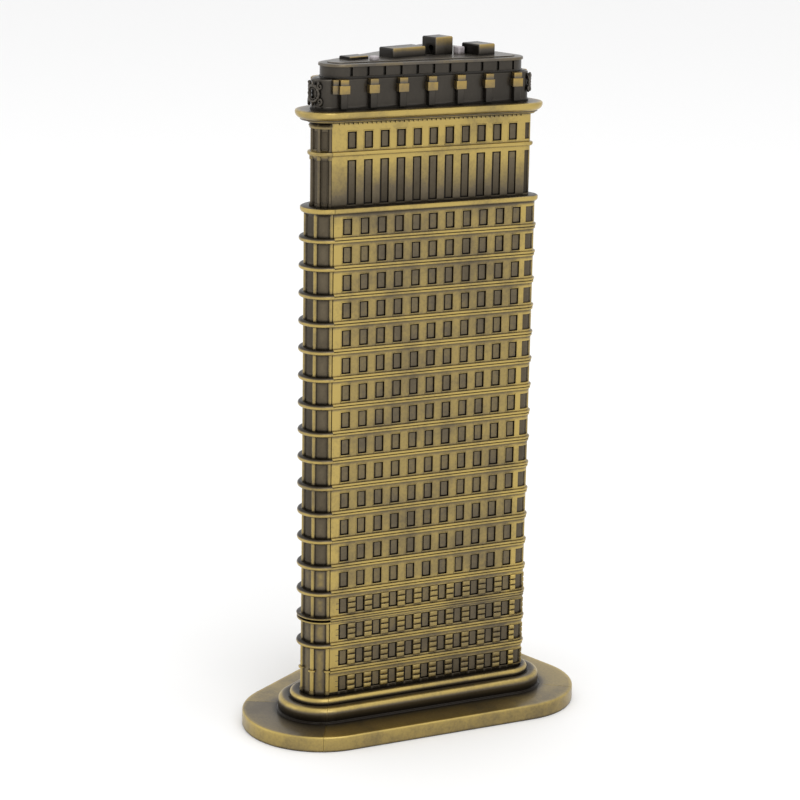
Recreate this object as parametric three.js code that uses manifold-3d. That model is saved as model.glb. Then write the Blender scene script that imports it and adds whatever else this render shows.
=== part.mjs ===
// A desk-top model of a wedge-shaped office tower, cast in four mitred sides on a mitred base.
// Millimetres, +Z up. +Y runs from the sharp rounded prow to the rear wall.
// The origin is on the resting face, in the middle of the base.

import * as THREE from "three";
import { mergeVertices } from "three/addons/utils/BufferGeometryUtils.js";
import Module from "manifold-3d";

const wasm = await Module();
wasm.setup();

// Plan of the tower: two long walls that meet at a rounded prow, and a rear wall with round corners.
const PROW_HALF_ANGLE = THREE.MathUtils.degToRad(16.37);
const PROW_RADIUS = 5.6;
const CORNER_RADIUS = 4.2; // rear rounds of the base and the crown
const WALL_CORNER_RADIUS = 2.8;
const PLAN_DEPTH = 55.6; // centre of the prow round to the rear wall
const WALL = 2.2;
const JOINT_GAP = 0.3; // between castings that meet
const SMALLEST_ROUND = 0.3;
const ARC_STEPS = 3; // half the facets of one round corner
const BASE_ARC_STEPS = 7;

// Base: a flat plate with two half-round steps, and a felt pad let into its underside.
const BASE_MARGIN = 15.4; // plate edge beyond the tower walls
const PLATE_HEIGHT = 4.2;
const PLATE_EDGE = 0.4;
const LOWER_STEP_MARGIN = 6;
const LOWER_STEP_HEIGHT = 4;
const UPPER_STEP_MARGIN = 2.7;
const UPPER_STEP_HEIGHT = 1.55;
const STEP_ROUND = 1.2;
const UPPER_STEP_ROUND = 0.7;
const FELT_THICKNESS = 1.2;
const FELT_MARGIN = 2.6; // plate rim left round the felt

// Office floors: rows of sunk windows with a band between them.
const FLOORS = 18;
const FLOOR_HEIGHT = 7.25;
const FOOT_STRIP = 0.35;
const SILL_STRIP = 0.42;
const BAND_HEIGHT = 1.48;
const HEAD_STRIP = 1.03;
const BAND_RELIEF = 0.48;
const WINDOW_WIDTH = 2.4;
const WINDOW_DEPTH = 0.5;
const SIDE_COLUMNS = 11;
const SIDE_FIRST_COLUMN = 3.82;
const SIDE_LAST_COLUMN = 3.65;
const REAR_COLUMNS = 7;
const REAR_FIRST_COLUMN = 3.97;

// Prow: three tall bays between four half-round columns, crossed by floor rings.
const BAY_DEPTH = 0.6;
const PROW_RING_RELIEF = 1.07;
const COLUMN_RADIUS = 0.55;
const COLUMN_SIDES = 6;
const COLUMN_ANGLES = [-69, -23, 23, 69].map(THREE.MathUtils.degToRad);
const TALL_BAY_FLOORS = 2; // floors of the lowest bays, with no ring between them

// Ledge and the loggia floors above it.
const LEDGE_HEIGHT = 1.55;
const LEDGE_RELIEF = 0.8;
const LEDGE_DROP = 1.24; // wall between the top windows and the ledge
const LOGGIA_SETBACK = 1.7;
const LOGGIA_SILL = 0.35;
const TALL_WINDOW_HEIGHT = 11.45;
const LOGGIA_BAND_DROP = 1.12;
const LOGGIA_BAND_HEIGHT = 1.13;
const LOGGIA_BAND_RELIEF = 0.73;
const SMALL_WINDOW_SILL = 0.56;
const SMALL_WINDOW_HEIGHT = 4.44;
const FRIEZE_HEIGHT = 1.4;
const DENTIL_HEIGHT = 0.9;
const DENTIL_RELIEF = 0.5;
const BED_HEIGHT = 0.6;
const BED_RELIEF = 1.2;
const LOGGIA_WINDOW_WIDTH = 2.27;
const LOGGIA_FIRST_COLUMN = 5.6;
const LOGGIA_LAST_COLUMN = 4.47;

// Cornice, attic and parapet.
const CORNICE_HEIGHT = 2.25;
const CORNICE_RELIEF = 2.25;
const CORNICE_ROUND = 0.8;
const ATTIC_SETBACK = 1.85;
const ATTIC_HEIGHT = 7.45;
const ATTIC_ROOF = 1.6;
const SIDE_PIERS = 7;
const REAR_PIERS = 5;
const SIDE_FIRST_PIER = 2.81;
const PIER_END = 4.17;
const PIER_WIDTH = 2.1;
const PIER_RELIEF = 1.6;
const BLOCK_WIDTH = 2.45;
const BLOCK_HEIGHT = 2.3;
const BLOCK_RELIEF = 1.95;
const CAP_HEIGHT = 1.35; // pier above the block
const CARTOUCHE_WIDTH = 4.2;
const CARTOUCHE_HEIGHT = 5.2;
const PROW_CARTOUCHE_WIDTH = 6.3; // across the round it follows
const PROW_CARTOUCHE_HEIGHT = 6.6;
const CARTOUCHE_EYE = 0.42; // share of the width and height that is open
const CARTOUCHE_THICKNESS = 0.9;
const CARTOUCHE_REACH = 20; // long enough to pass through the attic wall
const PARAPET_SETBACK = 1.95;
const PARAPET_ROUND = 4.8;
const PARAPET_BAND = 2.6;
const PARAPET_WALL = 1.8;
const LIP_RELIEF = 0.4;
const LIP_HEIGHT = 0.8;
const SLOT_WIDTH = 0.58;
const SLOT_HEIGHT = 1.95;
const SLOT_DEPTH = 0.7;
const SIDE_FIRST_SLOT = 5.24;
const SLOT_END = 4.67;
const DECK_THICKNESS = 1.5;
const DECK_RISE = 0.25; // deck above the parapet's lip

// Roof houses: width across, length along the tower, height above the deck, and place from the prow.
const HOUSE_ROUND = 0.35;
const HOUSES = [
  { name: "low_skylight", width: 4.4, length: 6.4, height: 0.5, across: -1.9, along: 10.7 },
  { name: "long_skylight", width: 5.7, length: 11.3, height: 2.1, across: 0.38, along: 25.2 },
  { name: "lift_house", width: 5.5, length: 6.1, height: 4.2, across: 1.55, along: 36.3 },
  { name: "stair_house", width: 6.9, length: 5.7, height: 2.45, across: 7.75, along: 45.05 },
  { name: "front_vent", width: 1.9, length: 1.95, height: 0.7, across: 2.88, along: 13.42 },
  { name: "rear_vent", width: 2.2, length: 2.2, height: 1.55, across: 4.99, along: 40.8 },
];
const PORTHOLE_RADIUS = 0.85;
const PORTHOLE_SHIFT = 0.92; // from the middle of the face
const PORTHOLE_RISE = 1.4; // centre above the foot
const PORTHOLE_DEPTH = 1.4;

// Solder beads run up the inside of the four wall joints.
const BEAD_RADIUS = 0.8;
const BEAD_END = 1.5; // bare joint left at each end

const SIN = Math.sin(PROW_HALF_ANGLE);
const COS = Math.cos(PROW_HALF_ANGLE);
const PROW_Y = (PROW_RADIUS - PLAN_DEPTH) / 2;
const REAR_Y = PROW_Y + PLAN_DEPTH;
const MITRE = Math.PI / 4; // prow joints, from the axis
const BISECTOR = (Math.PI / 2 - PROW_HALF_ANGLE) / 2; // rear joints, from the +X axis
const FAR = 200;

// Heights, from the resting face up.
const LOWER_STEP_TOP = PLATE_HEIGHT + LOWER_STEP_HEIGHT;
const UPPER_STEP_TOP = LOWER_STEP_TOP + UPPER_STEP_HEIGHT;
const WALL_FOOT = UPPER_STEP_TOP + JOINT_GAP;
const WINDOW_HEIGHT = FLOOR_HEIGHT - SILL_STRIP - BAND_HEIGHT - HEAD_STRIP;
const FIRST_SILL = WALL_FOOT + FOOT_STRIP;
const LEDGE_FOOT = FIRST_SILL + (FLOORS - 1) * FLOOR_HEIGHT + WINDOW_HEIGHT + LEDGE_DROP;
const LEDGE_TOP = LEDGE_FOOT + LEDGE_HEIGHT;
const TALL_SILL = LEDGE_TOP + LOGGIA_SILL;
const LOGGIA_BAND_FOOT = TALL_SILL + TALL_WINDOW_HEIGHT + LOGGIA_BAND_DROP;
const SMALL_SILL = LOGGIA_BAND_FOOT + LOGGIA_BAND_HEIGHT + SMALL_WINDOW_SILL;
const DENTIL_FOOT = SMALL_SILL + SMALL_WINDOW_HEIGHT + FRIEZE_HEIGHT;
const BED_FOOT = DENTIL_FOOT + DENTIL_HEIGHT;
const WALL_TOP = BED_FOOT + BED_HEIGHT;
const CORNICE_FOOT = WALL_TOP + JOINT_GAP;
const CORNICE_TOP = CORNICE_FOOT + CORNICE_HEIGHT;
const ATTIC_FOOT = CORNICE_TOP + JOINT_GAP;
const ATTIC_TOP = ATTIC_FOOT + ATTIC_HEIGHT;
const PARAPET_FOOT = ATTIC_TOP + JOINT_GAP;
const LIP_FOOT = PARAPET_FOOT + PARAPET_BAND;
const LIP_TOP = LIP_FOOT + LIP_HEIGHT;
const DECK_TOP = LIP_TOP + DECK_RISE;
const HOUSE_FOOT = DECK_TOP + JOINT_GAP;

// ---- solids ----

function solidOf(geometry) {
  geometry.deleteAttribute("normal");
  geometry.deleteAttribute("uv");
  const merged = mergeVertices(geometry, 1e-4);
  return new wasm.Manifold(new wasm.Mesh({
    numProp: 3,
    vertProperties: merged.attributes.position.array,
    triVerts: new Uint32Array(merged.index.array),
  }));
}

function joined(solids) {
  return solids.reduce((whole, next) => whole.add(next));
}

function geometryOf(solid) {
  const mesh = solid.getMesh();
  const geometry = new THREE.BufferGeometry();
  geometry.setAttribute("position", new THREE.BufferAttribute(mesh.vertProperties, mesh.numProp));
  geometry.setIndex(new THREE.BufferAttribute(mesh.triVerts, 1));
  geometry.computeVertexNormals();
  return geometry;
}

// ---- plan outlines ----

// Centre of the prow round for an outline moved out from the walls by offset.
function prowCentre(offset, radius) {
  return PROW_Y + (radius - PROW_RADIUS - offset) / SIN;
}

// Centre of the right rear corner round for the same outline; the left one mirrors it.
function cornerCentre(offset, radius) {
  const y = REAR_Y + offset - radius;
  const x = (PROW_RADIUS + offset - radius + (y - PROW_Y) * SIN) / COS;
  return new THREE.Vector2(x, y);
}

function outline(offset, prowRadius = PROW_RADIUS + offset, cornerRadius = CORNER_RADIUS + offset) {
  const prow = Math.max(SMALLEST_ROUND, prowRadius);
  const corner = Math.max(SMALLEST_ROUND, cornerRadius);
  const centre = cornerCentre(offset, corner);
  const shape = new THREE.Shape();
  const prowY = prowCentre(offset, prow);
  shape.absarc(0, prowY, prow, Math.PI + PROW_HALF_ANGLE, 2 * Math.PI - PROW_HALF_ANGLE);
  shape.absarc(centre.x, centre.y, corner, -PROW_HALF_ANGLE, Math.PI / 2);
  shape.absarc(-centre.x, centre.y, corner, Math.PI / 2, Math.PI + PROW_HALF_ANGLE);
  return shape;
}

function wallOutline(offset) {
  return outline(offset, PROW_RADIUS + offset, WALL_CORNER_RADIUS + offset);
}

function prism(shape, foot, top, steps = ARC_STEPS) {
  const geometry = new THREE.ExtrudeGeometry(shape, {
    depth: top - foot,
    bevelEnabled: false,
    curveSegments: steps,
  });
  geometry.translate(0, 0, foot);
  return solidOf(geometry);
}

// A prism whose upper and lower edges are rounded; its widest outline lies round beyond the one given.
function roundedPrism(shape, foot, top, round, steps = ARC_STEPS) {
  const geometry = new THREE.ExtrudeGeometry(shape, {
    depth: top - foot - 2 * round,
    bevelThickness: round,
    bevelSize: round,
    bevelSegments: 2,
    curveSegments: steps,
  });
  geometry.translate(0, 0, foot + round);
  return solidOf(geometry);
}

function ring(outer, inner, foot, top, shapeAt = wallOutline) {
  const shape = shapeAt(outer);
  shape.holes.push(shapeAt(inner));
  return prism(shape, foot, top);
}

// ---- the four castings that each storey is mitred into ----

function polygonPrism(points) {
  return prism(new THREE.Shape(points), -1, FAR + DECK_TOP);
}

// Where the prow joints and the rear joints cross the axis.
const PROW_APEX = PROW_Y - PROW_RADIUS * SIN + (PROW_RADIUS * COS) / Math.tan(MITRE);
const CORNER = cornerCentre(0, WALL_CORNER_RADIUS);
const CROWN_CORNER = cornerCentre(0, CORNER_RADIUS);
const REAR_APEX = CORNER.y - CORNER.x * Math.tan(BISECTOR);

function prowSector() {
  const apex = PROW_APEX - JOINT_GAP / 2 / Math.sin(MITRE);
  const spread = FAR * Math.tan(MITRE);
  return polygonPrism([
    new THREE.Vector2(0, apex),
    new THREE.Vector2(-spread, apex - FAR),
    new THREE.Vector2(spread, apex - FAR),
  ]);
}

function rearSector() {
  const apex = REAR_APEX + JOINT_GAP / 2 / Math.cos(BISECTOR);
  const rise = FAR * Math.tan(BISECTOR);
  return polygonPrism([
    new THREE.Vector2(0, apex),
    new THREE.Vector2(FAR, apex + rise),
    new THREE.Vector2(-FAR, apex + rise),
  ]);
}

function sideSector(side) {
  const prow = PROW_APEX + JOINT_GAP / 2 / Math.sin(MITRE);
  const rear = REAR_APEX - JOINT_GAP / 2 / Math.cos(BISECTOR);
  return polygonPrism([
    new THREE.Vector2(0, prow),
    new THREE.Vector2(side * FAR * Math.tan(MITRE), prow - FAR),
    new THREE.Vector2(side * FAR, rear + FAR * Math.tan(BISECTOR)),
    new THREE.Vector2(0, rear),
  ]);
}

const SECTORS = {
  prow: prowSector(),
  right: sideSector(1),
  left: sideSector(-1),
  rear: rearSector(),
};

// ---- flat faces: where each starts, which way it runs and which way it looks ----

const SIDE_LENGTH = ((CORNER.y - PROW_Y) + (PROW_RADIUS - WALL_CORNER_RADIUS) * SIN) / COS;
const FACES = {
  right: {
    start: new THREE.Vector2(PROW_RADIUS * COS, PROW_Y - PROW_RADIUS * SIN),
    along: new THREE.Vector2(SIN, COS),
    out: new THREE.Vector2(COS, -SIN),
  },
  left: {
    start: new THREE.Vector2(-PROW_RADIUS * COS, PROW_Y - PROW_RADIUS * SIN),
    along: new THREE.Vector2(-SIN, COS),
    out: new THREE.Vector2(-COS, -SIN),
  },
  rear: {
    start: new THREE.Vector2(CORNER.x, REAR_Y),
    along: new THREE.Vector2(-1, 0),
    out: new THREE.Vector2(0, 1),
  },
};

// Evenly spaced places between a first one and a last one.
function spread(count, first, last) {
  return Array.from({ length: count }, (_, i) => first + ((last - first) * i) / (count - 1));
}

// Places along the two side faces and the rear face for a repeated feature.
function places(sideCount, sideFirst, sideEnd, rearCount, rearEnd) {
  const side = spread(sideCount, sideFirst, SIDE_LENGTH - sideEnd);
  const rear = spread(rearCount, rearEnd, 2 * CORNER.x - rearEnd);
  return [
    ...side.map((at) => ({ face: FACES.right, at })),
    ...side.map((at) => ({ face: FACES.left, at })),
    ...rear.map((at) => ({ face: FACES.rear, at })),
  ];
}

// A block on a face, from one distance out of the wall line to another.
function faceBlock({ face, at }, width, inner, outer, foot, top) {
  const middle = (inner + outer) / 2;
  const geometry = new THREE.BoxGeometry(width, outer - inner, top - foot);
  geometry.rotateZ(face.along.angle());
  geometry.translate(
    face.start.x + face.along.x * at + face.out.x * middle,
    face.start.y + face.along.y * at + face.out.y * middle,
    (foot + top) / 2,
  );
  return solidOf(geometry);
}

// ---- base ----

function baseStep(margin, foot, top, round, steps = ARC_STEPS) {
  return roundedPrism(outline(margin - round), foot, top, round, steps);
}

function baseRing() {
  const inside = prism(wallOutline(-WALL), -1, WALL_FOOT);
  const seat = outline(JOINT_GAP + BASE_MARGIN - FELT_MARGIN);
  const feltSeat = prism(seat, -1, FELT_THICKNESS + JOINT_GAP, BASE_ARC_STEPS);
  return joined([
    baseStep(BASE_MARGIN, 0, PLATE_HEIGHT, PLATE_EDGE, BASE_ARC_STEPS),
    baseStep(LOWER_STEP_MARGIN, PLATE_HEIGHT - STEP_ROUND, LOWER_STEP_TOP, STEP_ROUND),
    baseStep(UPPER_STEP_MARGIN, LOWER_STEP_TOP - UPPER_STEP_ROUND, UPPER_STEP_TOP, UPPER_STEP_ROUND),
  ]).subtract(inside).subtract(feltSeat);
}

function felt() {
  return prism(outline(BASE_MARGIN - FELT_MARGIN), 0, FELT_THICKNESS, BASE_ARC_STEPS);
}

// ---- walls ----

const floorSills = Array.from({ length: FLOORS }, (_, floor) => FIRST_SILL + floor * FLOOR_HEIGHT);

// Top edge of the band below each row of windows, except the lowest row.
const bandTops = floorSills.slice(1).map((sill) => sill - SILL_STRIP);

function windowCuts() {
  const cuts = [];
  const side = [SIDE_COLUMNS, SIDE_FIRST_COLUMN, SIDE_LAST_COLUMN];
  const columns = places(...side, REAR_COLUMNS, REAR_FIRST_COLUMN);
  for (const sill of floorSills) {
    for (const column of columns) {
      cuts.push(faceBlock(column, WINDOW_WIDTH, -WINDOW_DEPTH, 1, sill, sill + WINDOW_HEIGHT));
    }
  }
  return cuts;
}

function loggiaCuts() {
  const cuts = [];
  const floor = -LOGGIA_SETBACK - WINDOW_DEPTH;
  const rows = [
    [TALL_SILL, TALL_SILL + TALL_WINDOW_HEIGHT],
    [SMALL_SILL, SMALL_SILL + SMALL_WINDOW_HEIGHT],
  ];
  const side = [SIDE_COLUMNS, LOGGIA_FIRST_COLUMN, LOGGIA_LAST_COLUMN];
  const columns = places(...side, REAR_COLUMNS, LOGGIA_LAST_COLUMN);
  for (const [foot, top] of rows) {
    for (const column of columns) {
      cuts.push(faceBlock(column, LOGGIA_WINDOW_WIDTH, floor, 0, foot, top));
    }
  }
  return cuts;
}

// Mouldings that run round every wall from the ledge up.
function upperCourses() {
  const wall = -LOGGIA_SETBACK;
  const root = wall - WINDOW_DEPTH;
  return [
    ring(LEDGE_RELIEF, wall - WALL, LEDGE_FOOT, LEDGE_TOP),
    ring(wall + LOGGIA_BAND_RELIEF, root, LOGGIA_BAND_FOOT, LOGGIA_BAND_FOOT + LOGGIA_BAND_HEIGHT),
    ring(wall + DENTIL_RELIEF, root, DENTIL_FOOT, BED_FOOT),
    ring(wall + BED_RELIEF, root, BED_FOOT, WALL_TOP),
  ];
}

// The proud band between two rows of windows, along each flat face.
function floorBands(top) {
  const side = { at: SIDE_LENGTH / 2, length: SIDE_LENGTH };
  const rear = { at: CORNER.x, length: 2 * CORNER.x };
  return [
    { face: FACES.right, ...side },
    { face: FACES.left, ...side },
    { face: FACES.rear, ...rear },
  ].map((run) => faceBlock(run, run.length, -WINDOW_DEPTH, BAND_RELIEF, top - BAND_HEIGHT, top));
}

// The two side walls and the rear wall, before they are cut apart.
function flatWalls() {
  const wall = -LOGGIA_SETBACK;
  const cuts = joined([...windowCuts(), ...loggiaCuts()]);
  const shell = ring(0, -WALL, WALL_FOOT, LEDGE_TOP).add(ring(wall, wall - WALL, LEDGE_FOOT, WALL_TOP));
  const bands = bandTops.flatMap((top) => floorBands(top));
  return joined([shell.subtract(cuts), ...bands, ...upperCourses()]);
}

function prowColumn(angle, foot, top, setback) {
  const distance = PROW_RADIUS - setback - BAY_DEPTH;
  const geometry = new THREE.CylinderGeometry(COLUMN_RADIUS, COLUMN_RADIUS, top - foot, COLUMN_SIDES);
  geometry.rotateX(Math.PI / 2);
  geometry.translate(Math.sin(angle) * distance, PROW_Y - Math.cos(angle) * distance, (foot + top) / 2);
  return solidOf(geometry);
}

function prowWall() {
  const bay = -BAY_DEPTH;
  const loggiaBay = bay - LOGGIA_SETBACK;
  const rings = bandTops.slice(TALL_BAY_FLOORS - 1);
  return joined([
    ring(bay, -WALL, WALL_FOOT, LEDGE_TOP),
    ring(loggiaBay, -WALL - LOGGIA_SETBACK, LEDGE_FOOT, WALL_TOP),
    ...rings.map((top) => ring(PROW_RING_RELIEF, bay - COLUMN_RADIUS, top - BAND_HEIGHT, top)),
    ...COLUMN_ANGLES.map((angle) => prowColumn(angle, WALL_FOOT, LEDGE_TOP, 0)),
    ...COLUMN_ANGLES.map((angle) => prowColumn(angle, LEDGE_FOOT, WALL_TOP, LOGGIA_SETBACK)),
    ...upperCourses(),
  ]);
}

// ---- crown ----

function cornice() {
  const edge = outline(CORNICE_RELIEF - CORNICE_ROUND);
  return roundedPrism(edge, CORNICE_FOOT, CORNICE_TOP, CORNICE_ROUND);
}

function attic() {
  const wall = -ATTIC_SETBACK;
  const blockTop = ATTIC_TOP - CAP_HEIGHT;
  const blockFoot = blockTop - BLOCK_HEIGHT;
  const piers = places(SIDE_PIERS, SIDE_FIRST_PIER, PIER_END, REAR_PIERS, PIER_END);
  const box = prism(outline(wall), ATTIC_FOOT, ATTIC_TOP);
  const hollow = prism(outline(wall - WALL), ATTIC_FOOT - 1, ATTIC_TOP - ATTIC_ROOF);
  const root = wall - 1;
  const pierFace = wall + PIER_RELIEF;
  const blockFace = wall + BLOCK_RELIEF;
  return joined([
    box.subtract(hollow),
    ...piers.map((pier) => faceBlock(pier, PIER_WIDTH, root, pierFace, ATTIC_FOOT, ATTIC_TOP)),
    ...piers.map((pier) => faceBlock(pier, BLOCK_WIDTH, root, blockFace, blockFoot, blockTop)),
  ]);
}

// An oval frame that follows the round of the attic, looking out along an angle in plan.
function cartouche(x, y, angle, width = CARTOUCHE_WIDTH, height = CARTOUCHE_HEIGHT) {
  const shape = new THREE.Shape();
  shape.absellipse(0, 0, width / 2, height / 2, 0, 2 * Math.PI);
  const eye = new THREE.Path();
  eye.absellipse(0, 0, (width * CARTOUCHE_EYE) / 2, (height * CARTOUCHE_EYE) / 2, 0, 2 * Math.PI);
  shape.holes.push(eye);
  const geometry = new THREE.ExtrudeGeometry(shape, {
    depth: CARTOUCHE_REACH,
    bevelEnabled: false,
    curveSegments: 6,
  });
  geometry.rotateX(Math.PI / 2);
  geometry.rotateZ(angle + Math.PI / 2);
  geometry.translate(x, y, ATTIC_TOP - height / 2 - JOINT_GAP);
  const inner = JOINT_GAP - ATTIC_SETBACK;
  const skin = ring(inner + CARTOUCHE_THICKNESS, inner, ATTIC_FOOT, ATTIC_TOP, outline);
  return solidOf(geometry).intersect(skin);
}

function parapet() {
  const band = prism(outline(-PARAPET_SETBACK, PARAPET_ROUND, PARAPET_ROUND), PARAPET_FOOT, LIP_FOOT);
  const lipRound = PARAPET_ROUND + LIP_RELIEF;
  const lip = prism(outline(LIP_RELIEF - PARAPET_SETBACK, lipRound, lipRound), LIP_FOOT, LIP_TOP);
  const hollow = prism(deckSeat(0), PARAPET_FOOT - 1, LIP_TOP + 1);
  const slots = places(SIDE_COLUMNS, SIDE_FIRST_SLOT, SLOT_END, REAR_COLUMNS, SLOT_END);
  const inner = -PARAPET_SETBACK - SLOT_DEPTH;
  const foot = LIP_FOOT - SLOT_HEIGHT;
  const cuts = slots.map((slot) => faceBlock(slot, SLOT_WIDTH, inner, 0, foot, LIP_FOOT));
  return band.subtract(joined(cuts)).add(lip).subtract(hollow);
}

// The opening of the parapet, drawn in by a clearance.
function deckSeat(clearance) {
  const inset = PARAPET_WALL + clearance;
  return outline(-PARAPET_SETBACK - inset, PARAPET_ROUND - inset, PARAPET_ROUND - inset);
}

function deck() {
  return prism(deckSeat(JOINT_GAP), DECK_TOP - DECK_THICKNESS, DECK_TOP);
}

function roofHouse({ width, length, height }) {
  const x = width / 2 - HOUSE_ROUND;
  const y = length / 2 - HOUSE_ROUND;
  const shape = new THREE.Shape([
    new THREE.Vector2(-x, -y),
    new THREE.Vector2(x, -y),
    new THREE.Vector2(x, y),
    new THREE.Vector2(-x, y),
  ]);
  const body = new THREE.ExtrudeGeometry(shape, {
    depth: height - HOUSE_ROUND,
    bevelThickness: HOUSE_ROUND,
    bevelSize: HOUSE_ROUND,
    bevelSegments: 2,
  });
  const below = new THREE.BoxGeometry(2 * width, 2 * length, 2 * height);
  below.translate(0, 0, -height);
  return solidOf(body).subtract(solidOf(below));
}

// The round opening in the prow side of the lift house.
function porthole({ length }) {
  const geometry = new THREE.CylinderGeometry(PORTHOLE_RADIUS, PORTHOLE_RADIUS, 2 * PORTHOLE_DEPTH, 16);
  geometry.translate(PORTHOLE_SHIFT, -length / 2, PORTHOLE_RISE);
  return solidOf(geometry);
}

// ---- joints inside ----

function bead(x, y) {
  const foot = WALL_FOOT + BEAD_END;
  const top = LEDGE_FOOT - BEAD_END;
  const geometry = new THREE.CylinderGeometry(BEAD_RADIUS, BEAD_RADIUS, top - foot, 8);
  geometry.rotateX(Math.PI / 2);
  geometry.translate(x, y, (foot + top) / 2);
  return solidOf(geometry);
}

function prowBead(side) {
  const inset = (WALL + JOINT_GAP + BEAD_RADIUS) / Math.cos(MITRE - PROW_HALF_ANGLE);
  const x = PROW_RADIUS * COS - inset * Math.sin(MITRE);
  return bead(side * x, PROW_Y - PROW_RADIUS * SIN + inset * Math.cos(MITRE));
}

function rearBead(side) {
  const round = Math.max(BEAD_RADIUS, WALL_CORNER_RADIUS - WALL - JOINT_GAP);
  const corner = cornerCentre(-WALL - JOINT_GAP, round);
  const reach = round - BEAD_RADIUS;
  return bead(side * (corner.x + reach * Math.cos(BISECTOR)), corner.y + reach * Math.sin(BISECTOR));
}

// ---- assembly ----

const BRASS = new THREE.MeshStandardMaterial({ color: 0xa98c4a, roughness: 0.42, metalness: 1 });
const DARK_BRASS = new THREE.MeshStandardMaterial({ color: 0x4a463d, roughness: 0.5, metalness: 1 });
const GREY_PAINT = new THREE.MeshStandardMaterial({ color: 0xaaa6a3, roughness: 0.6, metalness: 0 });
const FELT = new THREE.MeshStandardMaterial({ color: 0x1d2b22, roughness: 1, metalness: 0 });
const SOLDER = new THREE.MeshStandardMaterial({ color: 0x9a9a96, roughness: 0.5, metalness: 1 });

const tower = new THREE.Group();

function addPiece(name, solid, material) {
  const mesh = new THREE.Mesh(geometryOf(solid), material);
  mesh.name = name;
  tower.add(mesh);
  return mesh;
}

const base = baseRing();
const flat = flatWalls();
const walls = { prow: prowWall(), right: flat, left: flat, rear: flat };
for (const [side, sector] of Object.entries(SECTORS)) {
  addPiece(`base_${side}`, base.intersect(sector), BRASS);
  addPiece(`wall_${side}`, walls[side].intersect(sector), BRASS);
}
addPiece("base_felt", felt(), FELT);
for (const [side, sign] of [["right", 1], ["left", -1]]) {
  addPiece(`solder_prow_${side}`, prowBead(sign), SOLDER);
  addPiece(`solder_rear_${side}`, rearBead(sign), SOLDER);
  const facing = sign > 0 ? BISECTOR : Math.PI - BISECTOR;
  addPiece(`cartouche_${side}`, cartouche(sign * CROWN_CORNER.x, CROWN_CORNER.y, facing), DARK_BRASS);
}
const prowCartouche = cartouche(0, PROW_Y, -Math.PI / 2, PROW_CARTOUCHE_WIDTH, PROW_CARTOUCHE_HEIGHT);
addPiece("cartouche_prow", prowCartouche, DARK_BRASS);
addPiece("cornice_slab", cornice(), BRASS);
addPiece("attic_storey", attic(), DARK_BRASS);
addPiece("parapet", parapet(), DARK_BRASS);
addPiece("roof_deck", deck(), DARK_BRASS);
for (const house of HOUSES) {
  const solid = roofHouse(house);
  const isLift = house.name === "lift_house";
  const finish = house.name.endsWith("vent") ? GREY_PAINT : DARK_BRASS;
  const mesh = addPiece(house.name, isLift ? solid.subtract(porthole(house)) : solid, finish);
  mesh.position.set(house.across, PROW_Y + house.along, HOUSE_FOOT);
}

export default tower;
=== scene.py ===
"""Looks for the desk-top tower model: plated castings, dark crown and felt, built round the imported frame.

Sizes are in millimetres until a mesh is made. A wall is laid out by the distance along its outline from
the middle of the prow, by height, and by how far it stands out from the wall line.
"""
import math

import bpy
import numpy as np
from mathutils import Matrix, Vector


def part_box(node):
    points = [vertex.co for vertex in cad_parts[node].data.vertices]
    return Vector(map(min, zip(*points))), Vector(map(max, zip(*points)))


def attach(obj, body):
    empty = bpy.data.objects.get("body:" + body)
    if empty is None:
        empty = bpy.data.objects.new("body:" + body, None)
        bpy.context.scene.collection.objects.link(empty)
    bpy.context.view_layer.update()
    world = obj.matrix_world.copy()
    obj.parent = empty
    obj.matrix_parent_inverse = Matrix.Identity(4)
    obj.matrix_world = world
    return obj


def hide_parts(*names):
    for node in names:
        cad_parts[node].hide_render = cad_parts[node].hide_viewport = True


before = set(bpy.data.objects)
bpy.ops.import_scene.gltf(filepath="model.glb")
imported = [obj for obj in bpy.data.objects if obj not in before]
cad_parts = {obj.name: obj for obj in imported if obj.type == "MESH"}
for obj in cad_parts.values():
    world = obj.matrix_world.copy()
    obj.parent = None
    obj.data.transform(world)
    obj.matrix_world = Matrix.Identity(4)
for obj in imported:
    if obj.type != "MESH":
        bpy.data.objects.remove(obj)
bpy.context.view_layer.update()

MM = 0.001


def edges(node):
    """Foot and top of a CAD node."""
    low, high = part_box(node)
    return low.z / MM, high.z / MM


# ---- sizes of the tower, as the castings are cut ----

HALF_ANGLE = math.radians(16.37)
SIN, COS = math.sin(HALF_ANGLE), math.cos(HALF_ANGLE)
PROW_RADIUS = 5.6
CORNER_RADIUS = 4.2
WALL_CORNER_RADIUS = 2.8
PLAN_DEPTH = 55.6
PROW_Y = (PROW_RADIUS - PLAN_DEPTH) / 2
REAR_Y = PROW_Y + PLAN_DEPTH
BISECTOR = (math.pi / 2 - HALF_ANGLE) / 2
WALL = 2.2
SEAM = 0.1  # the closed joint between two castings
FOOT_TENON = 1.0  # how far a wall is let into the base
MULLION = 0.6

FLOORS = 18
RUSTIC_FLOORS = 4
FLOOR_HEIGHT = 7.25
WINDOW_HEIGHT = 4.32
WINDOW_WIDTH = 2.4
WINDOW_DEPTH = 0.5
BAND_HEIGHT = 1.48
SILL_STRIP = 0.42
SIDE_COLUMNS = 11
SIDE_FIRST_COLUMN = 3.82  # from the end of the prow round to the middle of the first window
SIDE_LAST_COLUMN = 3.65  # from the middle of the last window to the rear round
REAR_COLUMNS = 7
REAR_FIRST_COLUMN = 3.97
WINDOW_OPENING = WINDOW_WIDTH + 0.15  # with its drafted edges
WINDOW_FRAME = 0.24
PANE_START, PANE_STOP = 0.52, 0.16  # dark edge left at the two ends of a pane, along the outline
PANE_FOOT, PANE_HEAD = 0.24, 0.3
CORNER_WINDOW_RUN = 0.9  # flat wall that a corner window takes in beside the round

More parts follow.
